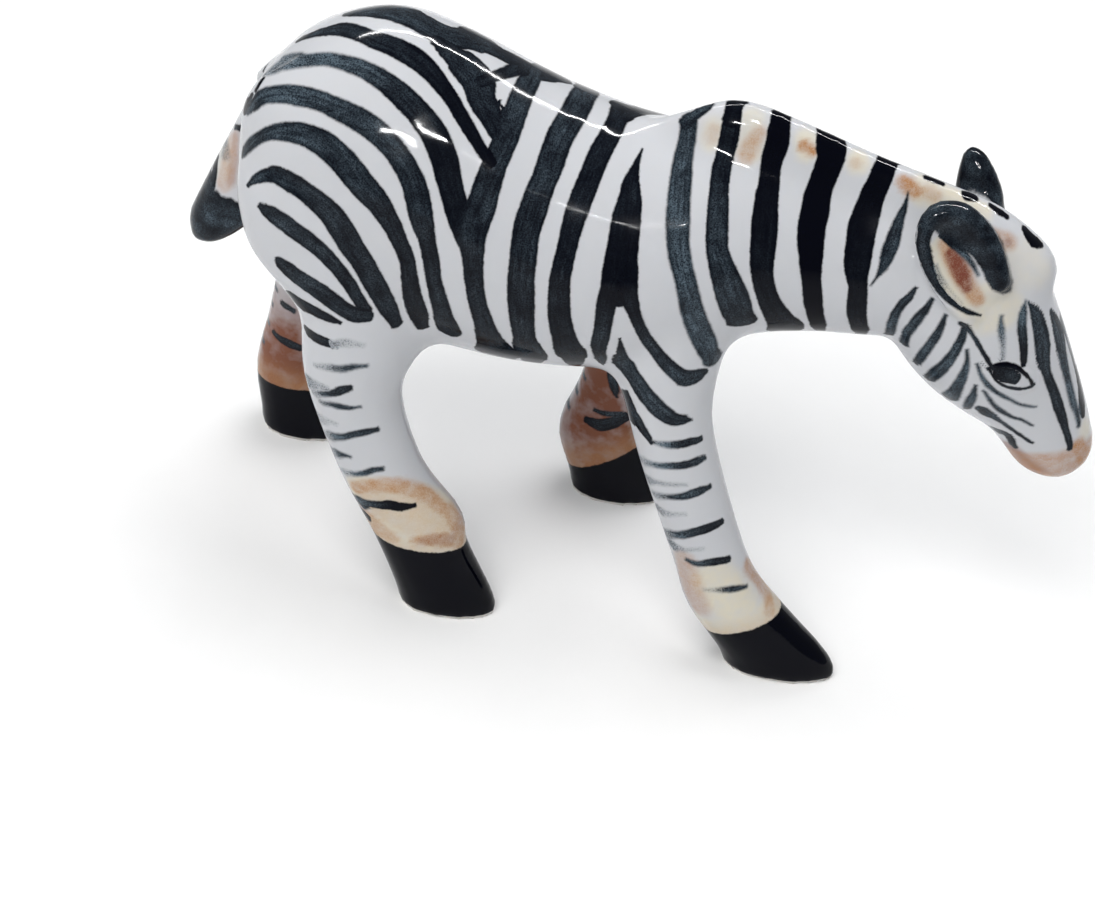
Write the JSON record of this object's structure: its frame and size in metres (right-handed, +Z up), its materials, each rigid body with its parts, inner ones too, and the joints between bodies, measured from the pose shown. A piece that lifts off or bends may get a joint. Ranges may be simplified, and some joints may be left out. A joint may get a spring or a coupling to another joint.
{
  "type": "porcelain zebra figurine",
  "caption": "Small glazed porcelain zebra, walking with its head lowered, that stands on its hooves as a shelf ornament.",
  "frame": {"origin": "on the plane of the soles, at the middle of the figure's length and width", "axes": "+X towards the animal's head, +Y towards its left side, +Z up"},
  "size_m": [0.0664, 0.0212, 0.0439],
  "materials": {
    "glazed_porcelain": "gloss white glaze over hand-painted blue-black stripes, with tan pasterns and muzzle and black hooves"
  },
  "bodies": {
    "root": {"zebra_figurine": "glazed_porcelain"}
  },
  "joints": []
}
